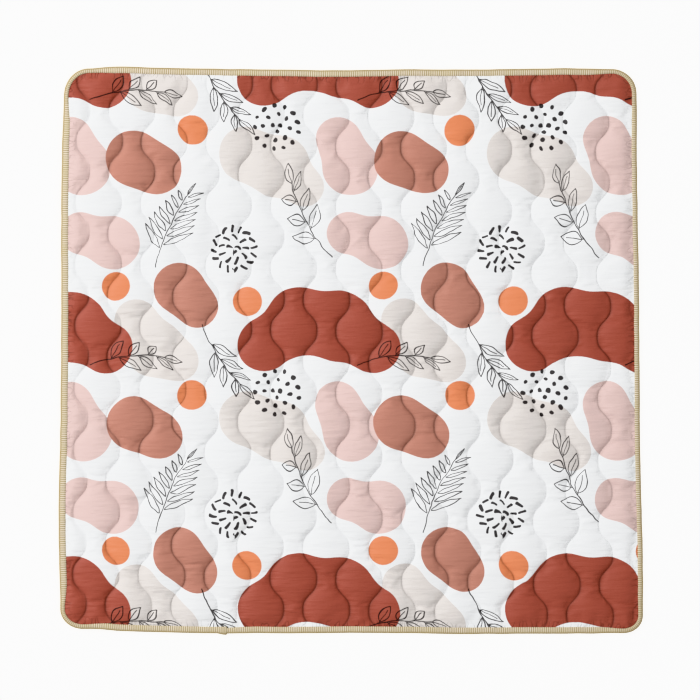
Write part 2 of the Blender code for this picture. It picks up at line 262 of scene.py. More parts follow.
def topHeight(x, y, rim):
    index, left, right = channelPlace(x, y)
    width = right - left
    across = (x - left) / width
    narrow = quilt["seamPitch"] - 2 * quilt["waveSwing"]
    wide = quilt["seamPitch"] + 2 * quilt["waveSwing"]
    share = smoothStep((width - narrow) / (wide - narrow))
    fullness = quilt["narrowShare"] + (1 - quilt["narrowShare"]) * share
    fullness = fullness * (1 + 0.07 * latticeNoise(x * 11 + 3, y * 9 + 7, 3))
    shifted = np.clip(across + 0.05 * latticeNoise(x * 9, y * 15, 5) * across * (1 - across) * 4, 0, 1)
    rise = (quilt["crestHeight"] - quilt["seamHeight"]) * fullness
    z = quilt["seamHeight"] + rise * np.sin(np.pi * shifted) ** quilt["puffPower"]
    taper = np.sin(np.pi / 2 * np.clip(rim / quilt["edgeTaper"], 0, 1))
    smooth = quilt["rimHeight"] + (z - quilt["rimHeight"]) * taper
    fromSeam = np.minimum(x - left, right - x)
    # wrinkles across the channels, stronger where they narrow
    rate = wrinkles["crossRate"]
    sway = 0.006 * latticeNoise(x * 22, y * 22, 8) + wrinkles["crossSlant"] * x
    cross = latticeNoise(x * rate[0] + index * 3.7, (y + sway) * rate[1], 11)
    cross += 0.5 * latticeNoise(x * rate[0] * 1.7 + index * 1.3, (y + sway) * rate[1] * 1.9, 12)
    calm = 0.35 + 0.65 * latticeNoise(x * 5, y * 6, 14) ** 2 + 0.5 * (1 - share)
    calm = calm * (0.65 + 0.7 * smoothStep((x - y + 0.7) / 1.5))
    z = z + wrinkles["crossHeight"] * cross * calm * smoothStep(fromSeam / 0.010)
    # puckers square to the nearer seam
    step = 0.0005
    nearLeft = (x - left) < (right - x)
    number = index - quilt["seamsEachSide"] - 2 + np.where(nearLeft, 0, 1)
    slope = (seamX(number, y + step) - seamX(number, y - step)) / (2 * step)
    along = y + slope * (x - np.where(nearLeft, left, right))
    sideRow = number * 5.3 + np.where(nearLeft, 0.2, 0.7)
    pucker = latticeNoise(along * wrinkles["puckerRate"] + number * 9.1, sideRow, 17)
    reach = wrinkles["puckerReach"] * (1 + 0.5 * latticeNoise(along * 40, number * 3.1, 18))
    z = z + wrinkles["puckerHeight"] * pucker * np.exp(-fromSeam / reach) * smoothStep(fromSeam / 0.003)
    z = z - wrinkles["creaseDepth"] * np.exp(-((fromSeam / wrinkles["creaseWidth"]) ** 2))
    # the padding thins towards the tape, and the cloth pleats there
    z = quilt["rimHeight"] + (z - quilt["rimHeight"]) * taper
    endOn = np.minimum(abs(y - panelEdgeY("near", x)), abs(y - panelEdgeY("far", x))) <= rim + 1e-6
    alongEdge = np.where(endOn, x, y)
    pleat = latticeNoise(alongEdge * wrinkles["pleatRate"], endOn * 7.0 + 0.5 + rim * 12, 21)
    strength = np.where(endOn, 1.0, 0.55) * (0.6 + 0.8 * abs(latticeNoise(alongEdge * 12, endOn * 3.0, 22)))
    body = np.exp(-rim / wrinkles["pleatReach"]) * smoothStep((rim + 0.0012) / 0.006)
    return z + wrinkles["pleatHeight"] * pleat * strength * body, smooth, alongEdge


# The print: soft pebbles and suns, in a repeat of its own. Places and radii are in mm
# from the middle of the repeat, as (x, y, radius) circles that melt into one another.
printPlan = {
    "repeat": (0.585, 0.580),
    "melt": 0.030,
    "shapes": {
        "rust": [[(-186, 14, 60), (-112, 62, 76), (-24, 52, 78), (52, 6, 56)]],
        "clay": [[(112, -160, 60), (166, -186, 52)], [(210, 138, 56), (250, 96, 46)]],
        "pink": [[(-26, -118, 50), (2, -180, 62)], [(66, 236, 58), (-4, 256, 46)]],
        "greige": [[(-226, -150, 60), (-156, -178, 66), (-98, -222, 42)],
                   [(116, 66, 48), (156, 4, 64), (210, -24, 44)]],
        "sun": [[(-226, 108, 32)], [(72, 142, 31)], [(240, -98, 33)]],
    },
}


def blobField(u, v, shape):
    # signed distance to circles that melt together, negative inside
    field = None
    for cx, cy, radius in shape:
        wide, high = printPlan["repeat"]
        dx = (u - cx / 1000 + wide / 2) % wide - wide / 2
        dy = (v - cy / 1000 + high / 2) % high - high / 2
        one = np.hypot(dx, dy) - radius / 1000
        if field is None:
            field = one
        else:
            melt = printPlan["melt"]
            blend = np.clip(0.5 + 0.5 * (field - one) / melt, 0, 1)
            field = field * (1 - blend) + one * blend - melt * blend * (1 - blend)
    return field


def printFields(u, v):
    # hand-drawn edges: the drawing sways by a millimetre or two
    swayU = u + 0.0028 * latticeNoise(u * 9, v * 9, 31)
    swayV = v + 0.0028 * latticeNoise(u * 9, v * 9, 33)
    return {name: np.min([blobField(swayU, swayV, shape) for shape in shapes], axis=0)
            for name, shapes in printPlan["shapes"].items()}


def gridMesh(name, x, y, z, extra):
    # an operator's grid, moved to its places
    rows, columns = x.shape
    builder = bmesh.new()
    bmesh.ops.create_grid(builder, x_segments=columns - 1, y_segments=rows - 1, size=1)
    mesh = bpy.data.meshes.new(name)
    builder.to_mesh(mesh)
    builder.free()
    flat = np.empty(len(mesh.vertices) * 3)
    mesh.vertices.foreach_get("co", flat)
    flat = flat.reshape(-1, 3)
    column = np.rint((flat[:, 0] + 1) / 2 * (columns - 1)).astype(int)
    row = np.rint((flat[:, 1] + 1) / 2 * (rows - 1)).astype(int)
    places = np.stack((x[row, column], y[row, column], z[row, column]), axis=1)
    mesh.vertices.foreach_set("co", places.ravel())
    for key, values in extra.items():
        layer = mesh.attributes.new(key, "FLOAT", "POINT")
        layer.data.foreach_set("value", values[row, column].ravel())
    order = np.empty((rows, columns), int)
    order[row, column] = np.arange(len(row))
    return mesh, order


def borderOrder(rows, columns):
    # the grid's rim, anticlockwise from its first corner
    order = [(0, column) for column in range(columns)]
    order += [(row, columns - 1) for row in range(1, rows - 1)]
    order += [(rows - 1, column) for column in range(columns - 1, -1, -1)]
    return order + [(row, 0) for row in range(rows - 2, 0, -1)]


def outwardOf(loop):
    before = loop - np.roll(loop, 1, axis=0)
    after = np.roll(loop, -1, axis=0) - loop
    before, after = (step / np.linalg.norm(step, axis=1)[:, None] for step in (before, after))
    tangent = before + after
    tangent /= np.linalg.norm(tangent, axis=1)[:, None]
    return np.stack((tangent[:, 1], -tangent[:, 0]), axis=1)


def loopEdges(builder, loop):
    return [builder.edges.get((loop[i], loop[(i + 1) % len(loop)])) for i in range(len(loop))]


def growRim(builder, loop, rings):
    # extrudes a border outwards ring by ring: (distance for each point, height)
    places = np.array([vert.co[:2] for vert in loop])
    outward = outwardOf(places)
    for distances, height in rings:
        grown = bmesh.ops.extrude_edge_only(builder, edges=loopEdges(builder, loop))["geom"]
        fresh = {item for item in grown if isinstance(item, bmesh.types.BMVert)}
        following = []
        for i, vert in enumerate(loop):
            twin = next(edge.other_vert(vert) for edge in vert.link_edges if edge.other_vert(vert) in fresh)
            spot = places[i] + outward[i] * distances[i]
            twin.co = (spot[0], spot[1], height)
            following.append(twin)
        loop = following
    return loop


def finishPiece(name, mesh, materials, cadNode):
    for material in materials:
        mesh.materials.append(material)
    mesh.shade_smooth()
    piece = bpy.data.objects.new(name, mesh)
    bpy.context.scene.collection.objects.link(piece)
    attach(piece, "root")
    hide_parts(cadNode)
    print(f"{name}: {len(mesh.polygons)} faces")
    return piece


# The top is inflated and slightly too big for its seams, so that it puckers like sewn cloth
sewing = {
    "frames": 14,
    "quality": 4,
    "pressure": 0.8,
    "growth": 0.03,
    "stretch": 12.0,
    "bending": 0.04,
    "mass": 0.12,
    "mostMove": 0.0015,
    "capReach": 0.014,
}


def settleCloth(mesh, order, fromSeam, rim):
    scene = bpy.context.scene
    cloth = bpy.data.objects.new("settling", mesh.copy())
    scene.collection.objects.link(cloth)
    pins = cloth.vertex_groups.new(name="sewn")
    held = order[(fromSeam < 0.0004) | (rim < 0.0004)]
    pins.add([int(index) for index in held], 1.0, "REPLACE")
    modifier = cloth.modifiers.new("cloth", "CLOTH")
    settings = modifier.settings
    settings.quality = sewing["quality"]
    settings.mass = sewing["mass"]
    settings.tension_stiffness = settings.compression_stiffness = sewing["stretch"]
    settings.shear_stiffness = sewing["stretch"] / 3
    settings.bending_stiffness = sewing["bending"]
    settings.effector_weights.gravity = 0.0
    settings.use_pressure = True
    settings.uniform_pressure_force = sewing["pressure"]
    settings.vertex_group_mass = "sewn"
    settings.shrink_min = -sewing["growth"]
    modifier.collision_settings.use_collision = False
    modifier.point_cache.frame_start = 1
    modifier.point_cache.frame_end = sewing["frames"]
    for number in range(1, sewing["frames"] + 1):
        scene.frame_set(number)
    settled = cloth.evaluated_get(bpy.context.evaluated_depsgraph_get()).to_mesh()
    start = np.empty(len(mesh.vertices) * 3)
    end = np.empty_like(start)
    mesh.vertices.foreach_get("co", start)
    settled.vertices.foreach_get("co", end)
    start, move = start.reshape(-1, 3), (end - start).reshape(-1, 3)
    length = np.linalg.norm(move, axis=1)
    print(f"cloth settled: median move {np.median(length):.5f}, largest {length.max():.5f}")
    fromHeld = np.empty(len(start))
    fromHeld[order] = np.minimum(fromSeam, rim)
    cap = sewing["mostMove"] * smoothStep(fromHeld / sewing["capReach"])
    share = np.minimum(1.0, cap / np.maximum(length, 1e-9))
    mesh.vertices.foreach_set("co", (start + move * share[:, None]).ravel())
    scene.frame_set(1)
    bpy.data.objects.remove(cloth)


topDetail = {
    "inset": 0.0,
    "edgeRows": [0.0, 0.0015, 0.0040, 0.0075, 0.0120, 0.0170, 0.0225, 0.0280],
    "rowStep": 0.0036,
    "leftCells": 7,
    "steps": [0.0, 0.012, 0.034, 0.076, 0.145, 0.235, 0.345, 0.46, 0.575, 0.685, 0.785, 0.868, 0.930,
              0.969, 0.989],
    "leastChannel": 0.002,
    "leastCell": 0.0003,
}
backDetail = {
    "inset": 0.0016,
    "edgeRows": [0.0, 0.006, 0.018],
    "rowStep": 0.0135,
    "leftCells": 2,
    "steps": [0.0, 0.12, 0.5, 0.88],
    "leastChannel": 0.002,
    "leastCell": 0.0012,
    "seamDepth": 0.0018,
    "seamWidth": 0.004,
    "rimFade": 0.010,
    "rimRise": 0.0021,
}


def buildPanel(printMaterial, backMaterial):
    x, y, rim, around = clothGrid(topDetail)
    z, smooth, alongEdge = topHeight(x, y, rim)
    # cloth coordinates follow the surface, so the print draws in where it dives into a seam
    stretch = np.hypot(np.diff(x, axis=1), 0.9 * np.diff(smooth, axis=1))
    walked = np.concatenate([np.zeros((x.shape[0], 1)), np.cumsum(stretch, axis=1)], axis=1)
    u = x[:, :1] + walked * ((x[:, -1:] - x[:, :1]) / walked[:, -1:])
    fields = printFields(u, y)
    _, left, right = channelPlace(x, y)
    extra = {"clothU": u, "clothV": y, **fields}
    extra["fromSeam"] = np.minimum(x - left, right - x)
    extra["fromRim"] = rim
    extra["alongRim"] = alongEdge
    mesh, order = gridMesh("quiltedPanel", x + centring[0], y + centring[1], z, extra)
    settleCloth(mesh, order, extra["fromSeam"], rim)
    builder = bmesh.new()
    builder.from_mesh(mesh)
    builder.verts.ensure_lookup_table()
    loop = [builder.verts[order[spot]] for spot in borderOrder(*x.shape)]
    # under the tape the padding's side runs down close inside its fold
    foldInset, foldTop, foldLow = 0.0032, 0.0049, 0.0026
    topLoop = growRim(builder, loop, [(around - foldInset, foldTop), (around - foldInset, foldLow)])

    # the plain backing, flat on the floor between its seams
    bx, by, backRim, backAround = clothGrid(backDetail)
    _, left, right = channelPlace(bx, by)
    fromSeam = np.minimum(bx - left, right - bx)
    bz = backDetail["seamDepth"] * np.exp(-((fromSeam / backDetail["seamWidth"]) ** 2))
    bz = bz * smoothStep(backRim / backDetail["rimFade"])
    backMesh, backOrder = gridMesh("backing", bx + centring[0], by + centring[1], bz, {"fromSeam": fromSeam})
    firstBack = len(builder.verts)
    firstFace = len(builder.faces)
    builder.from_mesh(backMesh)
    builder.verts.ensure_lookup_table()
    builder.faces.ensure_lookup_table()
    backLoop = [builder.verts[firstBack + backOrder[spot]] for spot in borderOrder(*bx.shape)]
    clearOfTape = np.full(len(backAround), 0.0007)
    underTape = backAround + backDetail["inset"] - 0.0034
    backLoop = growRim(builder, backLoop, [(clearOfTape, backDetail["rimRise"]), (underTape, 0.0024)])
    for face in list(builder.faces)[firstFace:]:
        face.material_index = 1
    bmesh.ops.bridge_loops(builder, edges=loopEdges(builder, topLoop) + loopEdges(builder, backLoop))
    bmesh.ops.recalc_face_normals(builder, faces=builder.faces)
    builder.to_mesh(mesh)
    openEdges = sum(1 for edge in builder.edges if len(edge.link_faces) != 2)
    print("panel: open edges", openEdges, "volume", round(builder.calc_volume(), 5))
    builder.free()
    bpy.data.meshes.remove(backMesh)
    piece = finishPiece("quiltedPanel", mesh, [printMaterial, backMaterial], "quilted_panel")
    return piece


# The ribbed tape, folded over the edge. Each row of its section is
# (inset in mm, share of its width, height in mm, how ribbed, how much is rim)
tape = {
    "flatWidth": 0.032,
    "flatLength": 4.94,
    "ribPitch": 0.0047,
    "ribDepth": 0.00055,
    "stepsPerRib": 4,
    "joinX": -0.2680,
    "lap": 0.026,
    "lapOut": 0.0034,
    "lapRise": 0.0011,
    "narrowAfterJoin": 0.0024,
    "section": [
        (0.3, 1.00, 7.0, 0.0, 0.0),
        (0.3, 1.00, 7.7, 0.8, 0.0),
        (0.5, 0.96, 8.2, 1.0, 0.0),
        (0.0, 0.72, 8.6, 1.0, 0.0),
        (1.2, 0.36, 8.5, 1.0, 0.0),
        (4.1, 0.0, 7.9, 0.7, 0.2),
        (3.5, 0.0, 7.5, 0.1, 0.8),
        (2.6, 0.0, 7.6, 0.0, 1.0),
        (1.2, 0.0, 7.0, 0.0, 1.0),
        (0.2, 0.0, 5.4, 0.0, 1.0),
        (0.0, 0.0, 3.6, 0.0, 1.0),
        (0.5, 0.0, 1.7, 0.0, 1.0),
        (1.7, 0.0, 0.5, 0.0, 1.0),
        (3.4, 0.0, 0.05, 0.0, 0.4),
        (-0.3, 1.00, 0.05, 0.0, 0.0),
        (-0.3, 1.00, 1.6, 0.0, 0.0),
        (2.1, 0.0, 1.9, 0.0, 0.0),
        (2.1, 0.0, 5.4, 0.0, 0.0),
    ],
}


def tapeStations():
    # even stations along the edge, four to a rib, that start at the join
    rough = outline(240, 40)
    points = np.array([station[0] for station in rough])
    widths = np.array([station[2] for station in rough])
    joint = int(np.argmin(np.hypot(points[:, 0] - tape["joinX"], points[:, 1] + halfY)))
    points, widths = np.roll(points, -joint, axis=0), np.roll(widths, -joint)
    points, widths = np.vstack([points, points[:1]]), np.append(widths, widths[0])
    walked = np.concatenate([[0], np.cumsum(np.linalg.norm(np.diff(points, axis=0), axis=1))])
    count = round(walked[-1] / tape["ribPitch"]) * tape["stepsPerRib"]
    along = np.linspace(0, walked[-1], count + 1)[:-1]
    places = np.stack([np.interp(along, walked, points[:, i]) for i in (0, 1)], axis=1)
    return places, outwardOf(places), np.interp(along, walked, widths), along, walked[-1]


def buildTape(material):
    places, outward, widths, along, total = tapeStations()
    places = places + outward * (0.0004 * latticeNoise(along * 30, along * 0, 41))[:, None]
    count = len(along)
    lap = smoothStep((along - total + tape["lap"]) / (tape["lap"] * 0.8))
    endRound = np.clip((total - along) / 0.0035, 0, 1) ** 0.5
    lap = lap * (0.55 + 0.45 * endRound)
    widths = widths - tape["narrowAfterJoin"] * np.exp(-along / 0.016)
    phase = np.arange(count) % tape["stepsPerRib"] / tape["stepsPerRib"]
    rib = 0.5 + 0.5 * np.cos(2 * math.pi * phase)
    cornerBlur = np.clip((widths - mat["cornerTapeWidth"]) / 0.0010, 0.45, 1)
    strength = cornerBlur * (1 - 0.6 * lap) * (0.85 + 0.15 * latticeNoise(along * 55, along * 0 + 2, 42))
    sections = len(tape["section"])
    x, y, z = (np.empty((sections + 1, count + 1)) for _ in range(3))
    ribbed, rimShare, lipShare, ridge = (np.zeros((sections + 1, count + 1)) for _ in range(4))
    for row in range(sections + 1):
        inset, share, height, ribs, rim = tape["section"][row % sections]
        inward = inset / 1000 + share * widths
        outside = 0 < row % sections < 14
        grow = lap * (1 - inward / widths) if outside else 0 * lap
        depth = tape["ribDepth"] * (rib - 1) * ribs * strength
        tooth = 0.0005 * (rib - 0.5) * strength if row in (1, 2) else 0
        spot = places + outward * (tape["lapOut"] * grow - inward - tooth)[:, None]
        rise = height / 1000 + depth + (tape["lapRise"] * lap if ribs > 0 else 0)
        wave = 0.00025 * latticeNoise(along * 40, along * 0 + 5, 43) if 0 < row < 9 else 0
        for grid, values in ((x, spot[:, 0] + centring[0]), (y, spot[:, 1] + centring[1]), (z, rise + wave)):
            grid[row, :count] = values
            grid[row, count] = values[0]
        # the lip rows, which the material darkens with painted shade between the teeth
        lip = 1.0 if row in (0, 1) else (0.35 if row == 2 else 0.0)
        flat = np.ones(count)
        shares = ((ribbed, ribs * strength), (rimShare, rim * flat), (lipShare, lip * flat), (ridge, rib))
        for grid, values in shares:
            grid[row, :count] = values
            grid[row, count] = values[0]
    extra = {"ribbed": ribbed, "rimShare": rimShare, "lipShare": lipShare, "ridge": ridge}
    mesh, _ = gridMesh("edgeBinding", x, y, z, extra)
    builder = bmesh.new()
    builder.from_mesh(mesh)
    bmesh.ops.remove_doubles(builder, verts=builder.verts, dist=0.00001)
    bmesh.ops.recalc_face_normals(builder, faces=builder.faces)
    builder.to_mesh(mesh)
    openEdges = sum(1 for edge in builder.edges if len(edge.link_faces) != 2)
    print("tape: open edges", openEdges, "volume", round(builder.calc_volume(), 6), "length", round(total, 3))
    builder.free()
    piece = finishPiece("edgeBinding", mesh, [material], "edge_binding")
    return piece


# Small helpers for materials
def wire(tree, value, socket):
    if isinstance(value, bpy.types.NodeSocket):
        tree.links.new(value, socket)
    else:
        socket.default_value = value


def calc(tree, operation, *values):
    node = tree.nodes.new("ShaderNodeMath")
    node.operation = operation
    for value, socket in zip(values, node.inputs):
        wire(tree, value, socket)
    return node.outputs[0]


def times(tree, *values):
    return calc(tree, "MULTIPLY", *values)


def plus(tree, *values):
    return calc(tree, "ADD", *values)


def minus(tree, *values):
    return calc(tree, "SUBTRACT", *values)


def field(tree, name):
    node = tree.nodes.new("ShaderNodeAttribute")
    node.attribute_name = name
    return node.outputs["Fac"]


def ramp(tree, value, low, high, toLow=0.0, toHigh=1.0):
    node = tree.nodes.new("ShaderNodeMapRange")
    node.clamp = True
    for item, socket in zip((value, low, high, toLow, toHigh), node.inputs):
        wire(tree, item, socket)
    return node.outputs[0]


def tint(tree, factor, first, second, blend="MIX"):
    node = tree.nodes.new("ShaderNodeMix")
    node.data_type = "RGBA"
    node.blend_type = blend
    node.clamp_factor = True
    wire(tree, factor, node.inputs[0])
    wire(tree, first, node.inputs[6])
    wire(tree, second, node.inputs[7])
    return node.outputs[2]


def speckle(tree, place, scale, detail=2.0, roughness=0.5):
    node = tree.nodes.new("ShaderNodeTexNoise")
    node.inputs["Scale"].default_value = scale
    node.inputs["Detail"].default_value = detail
    node.inputs["Roughness"].default_value = roughness
    wire(tree, place, node.inputs["Vector"])
    return node.outputs["Fac"]


def stretched(tree, scale, place=None):
    # Object coordinates stretched along an axis
    node = tree.nodes.new("ShaderNodeMapping")
    node.inputs["Scale"].default_value = scale
    if place is None:
        place = tree.nodes.new("ShaderNodeTexCoord").outputs["Object"]
    wire(tree, place, node.inputs["Vector"])
    return node.outputs["Vector"]


def colour(red, green, blue):
    # from the display's 0 to 255 values
    shares = [level / 255 for level in (red, green, blue)]
    linear = [share / 12.92 if share <= 0.04 else ((share + 0.055) / 1.055) ** 2.4 for share in shares]
    return (*linear, 1.0)


def newGroup(name, inputs, outputs):
    group = bpy.data.node_groups.new(name, "ShaderNodeTree")
    for socket, value in inputs:
        made = group.interface.new_socket(name=socket, in_out="INPUT", socket_type="NodeSocketFloat")
        made.default_value = value
    for socket in outputs:
        group.interface.new_socket(name=socket, in_out="OUTPUT", socket_type="NodeSocketFloat")
    start, end = group.nodes.new("NodeGroupInput"), group.nodes.new("NodeGroupOutput")
    return group, start.outputs, end.inputs


def place(tree, group, **values):
    node = tree.nodes.new("ShaderNodeGroup")
    node.node_tree = group
    for key, value in values.items():
        wire(tree, value, node.inputs[key])
    return node.outputs


def leafGroup():
    # an outlined leaf with a midrib, that lies along its own axis
    group, given, result = newGroup("drawnLeaf", [("along", 0), ("across", 0), ("length", 50), ("width", 18),
                                                  ("line", 1.0), ("rib", 0.75)], ["ink"])
    part = calc(group, "DIVIDE", given["along"], given["length"])
    inside = calc(group, "MINIMUM", calc(group, "MAXIMUM", part, 0.0), 1.0)
    swell = calc(group, "SINE", times(group, calc(group, "POWER", inside, 0.85), math.pi))
    half = times(group, swell, times(group, given["width"], 0.5))
    off = calc(group, "ABSOLUTE", given["across"])
    rim = calc(group, "ABSOLUTE", minus(group, off, half))
    rim = ramp(group, rim, given["line"], plus(group, given["line"], 0.35), 1.0, 0.0)
    within = times(group, calc(group, "GREATER_THAN", part, 0.0), calc(group, "LESS_THAN", part, 1.02))
    vein = ramp(group, off, times(group, given["line"], 0.7), plus(group, given["line"], 0.1), 1.0, 0.0)
    veinPart = times(group, calc(group, "GREATER_THAN", part, -0.12),
                     calc(group, "LESS_THAN", part, given["rib"]))
    both = calc(group, "MAXIMUM", times(group, rim, within), times(group, vein, veinPart))
    group.links.new(both, result["ink"])
    return group


def sprigGroup(leaf):
    # leaves set alternately along a bent stem, each in its own slanted strip, with one at the tip
    inputs = [("x", 0), ("y", 0), ("leaf", 50), ("width", 20), ("spacing", 44), ("count", 3), ("lean", 0.95),
              ("bend", 0.001), ("line", 1.0), ("taper", 0.13), ("tip", 0.8), ("rib", 0.75)]
    group, given, result = newGroup("drawnSprig", inputs, ["ink"])
    x = minus(group, given["x"], times(group, given["bend"], times(group, given["y"], given["y"])))
    across = calc(group, "ABSOLUTE", x)
    sine, cosine = calc(group, "SINE", given["lean"]), calc(group, "COSINE", given["lean"])
    shift = times(group, times(group, plus(group, calc(group, "SIGN", x), 1.0), 0.25), given["spacing"])
    y = minus(group, given["y"], shift)
    root = minus(group, y, calc(group, "DIVIDE", times(group, across, cosine), sine))
    index = calc(group, "FLOOR", calc(group, "DIVIDE", root, given["spacing"]))
    local = minus(group, y, times(group, plus(group, index, 0.5), given["spacing"]))
    size = minus(group, 1.0, times(group, index, given["taper"]))
    out = plus(group, times(group, across, sine), times(group, local, cosine))
    off = minus(group, times(group, local, sine), times(group, across, cosine))
    ink = place(group, leaf, along=minus(group, out, 4.0), across=off,
                length=times(group, given["leaf"], size),
                width=times(group, given["width"], size), line=given["line"], rib=given["rib"])["ink"]
    valid = times(group, calc(group, "GREATER_THAN", index, -0.5),
                 calc(group, "LESS_THAN", index, minus(group, given["count"], 0.5)))
    ink = times(group, ink, valid)
    top = times(group, given["spacing"], plus(group, given["count"], 0.45))
    tip = place(group, leaf, along=minus(group, given["y"], top), across=x,
                length=times(group, given["leaf"], given["tip"]),
                width=times(group, given["width"], given["tip"]), line=given["line"])["ink"]
    stem = ramp(group, across, given["line"], plus(group, given["line"], 0.35), 1.0, 0.0)
    onStem = times(group, calc(group, "GREATER_THAN", given["y"], -30.0),
                   calc(group, "LESS_THAN", given["y"], top))
    ink = calc(group, "MAXIMUM", calc(group, "MAXIMUM", ink, tip), times(group, stem, onStem))
    group.links.new(ink, result["ink"])
    return group


def marksGroup():
    # brush marks in rings, each a rounded dash that points outwards
    inputs = [("x", 0), ("y", 0), ("gap", 13), ("outer", 50), ("mark", 9), ("thick", 2.0), ("spacing", 13),
              ("turn", 0.4)]
    group, given, result = newGroup("brushMarks", inputs, ["ink"])
    radius = calc(group, "SQRT", plus(group, times(group, given["x"], given["x"]),
                                      times(group, given["y"], given["y"])))
    angle = calc(group, "ARCTAN2", given["x"], given["y"])
    ring = calc(group, "FLOOR", calc(group, "DIVIDE", radius, given["gap"]))
    middle = times(group, plus(group, ring, 0.5), given["gap"])
    number = calc(group, "DIVIDE", times(group, middle, 2 * math.pi), given["spacing"])
    number = calc(group, "MAXIMUM", calc(group, "ROUND", number), 1.0)
    turns = times(group, angle, calc(group, "DIVIDE", number, 2 * math.pi))
    turns = plus(group, turns, times(group, ring, 0.37))
    slot = calc(group, "FLOOR", turns)
    part = minus(group, minus(group, turns, slot), 0.5)
    across = calc(group, "DIVIDE", times(group, times(group, part, 2 * math.pi), middle), number)
    along = minus(group, radius, middle)
    chance = group.nodes.new("ShaderNodeTexWhiteNoise")
    chance.noise_dimensions = "2D"
    pair = group.nodes.new("ShaderNodeCombineXYZ")
    group.links.new(slot, pair.inputs[0])
    group.links.new(ring, pair.inputs[1])
    group.links.new(pair.outputs[0], chance.inputs["Vector"])
    lean = times(group, minus(group, chance.outputs["Value"], 0.5), given["turn"])
    sine, cosine = calc(group, "SINE", lean), calc(group, "COSINE", lean)
    a = plus(group, times(group, along, cosine), times(group, across, sine))
    b = minus(group, times(group, across, cosine), times(group, along, sine))
    a = minus(group, calc(group, "ABSOLUTE", a), times(group, given["mark"], 0.5))
    a = calc(group, "MAXIMUM", a, 0.0)
    distance = calc(group, "SQRT", plus(group, times(group, a, a), times(group, b, b)))
    grow = times(group, given["thick"], plus(group, 0.8, times(group, chance.outputs["Value"], 0.4)))
    ink = ramp(group, distance, grow, plus(group, grow, 0.4), 1.0, 0.0)
    ink = times(group, ink, calc(group, "LESS_THAN", middle, given["outer"]))
    group.links.new(ink, result["ink"])
    return group


# Where the line drawings lie in the repeat: place and turn, in mm and degrees
drawings = [
    ("sprig", -60, 226, 38,
     {"leaf": 50, "width": 26, "spacing": 44, "count": 3, "lean": 0.85, "bend": 0.0014}),
    ("sprig", 272, 30, -154,
     {"leaf": 56, "width": 17, "spacing": 36, "count": 3, "lean": 0.60, "bend": -0.0012}),
    ("sprig", 44, -22, -74,
     {"leaf": 46, "width": 20, "spacing": 38, "count": 3, "lean": 0.75, "bend": 0.0018}),
    ("sprig", 168, 212, -16,
     {"leaf": 66, "width": 12.5, "spacing": 19, "count": 7, "lean": 0.88, "bend": 0.0012,
      "line": 0.85, "taper": 0.09, "tip": 0.45, "rib": -1.0}),
    ("marks", -254, 222, 0, {"gap": 18, "outer": 62, "mark": 11.0, "thick": 2.7, "spacing": 18, "turn": 2.4}),
    ("marks", -160, -92, 0, {"gap": 19, "outer": 62, "mark": 1.6, "thick": 4.2, "spacing": 23, "turn": 2.0}),
]


# The printed cloth: colours as the display's levels, the shapes in the order they lie over one another
cloth = {
    "ground": (237, 238, 239),
    "shapes": {"greige": (214, 208, 204), "pink": (215, 189, 184), "clay": (180, 125, 109),
               "rust": (159, 82, 68), "sun": (221, 136, 96)},
    "shapeBlur": 0.0004,
    "ink": (26, 18, 20),
    "inkStrength": 0.95,
    "lineWobble": 9.0,
    # painted shade in the seam creases, deeper on darker cloth
    "creaseHalf": 0.0006,
    "creaseFade": -450.0,
    "creaseDarkest": 0.36,
    "pleatRates": (62.0, 30.0),
    "pleatReach": (0.003, 0.019),
    # how strong the painted shade in the pleats' folds is
    "pleatShade": 0.7,
    "pleatRelief": 0.45,
    "crinkleRates": (24, 150, 1),
    "weaveRates": (420, 60, 1),
    "weaveRelief": 0.10,
    "bumpStrength": 0.8,
    "bumpDistance": 0.0024,
    "roughness": 0.62,
    "specular": 0.30,
    "sheen": 0.25,
    "sheenRoughness": 0.45,
}


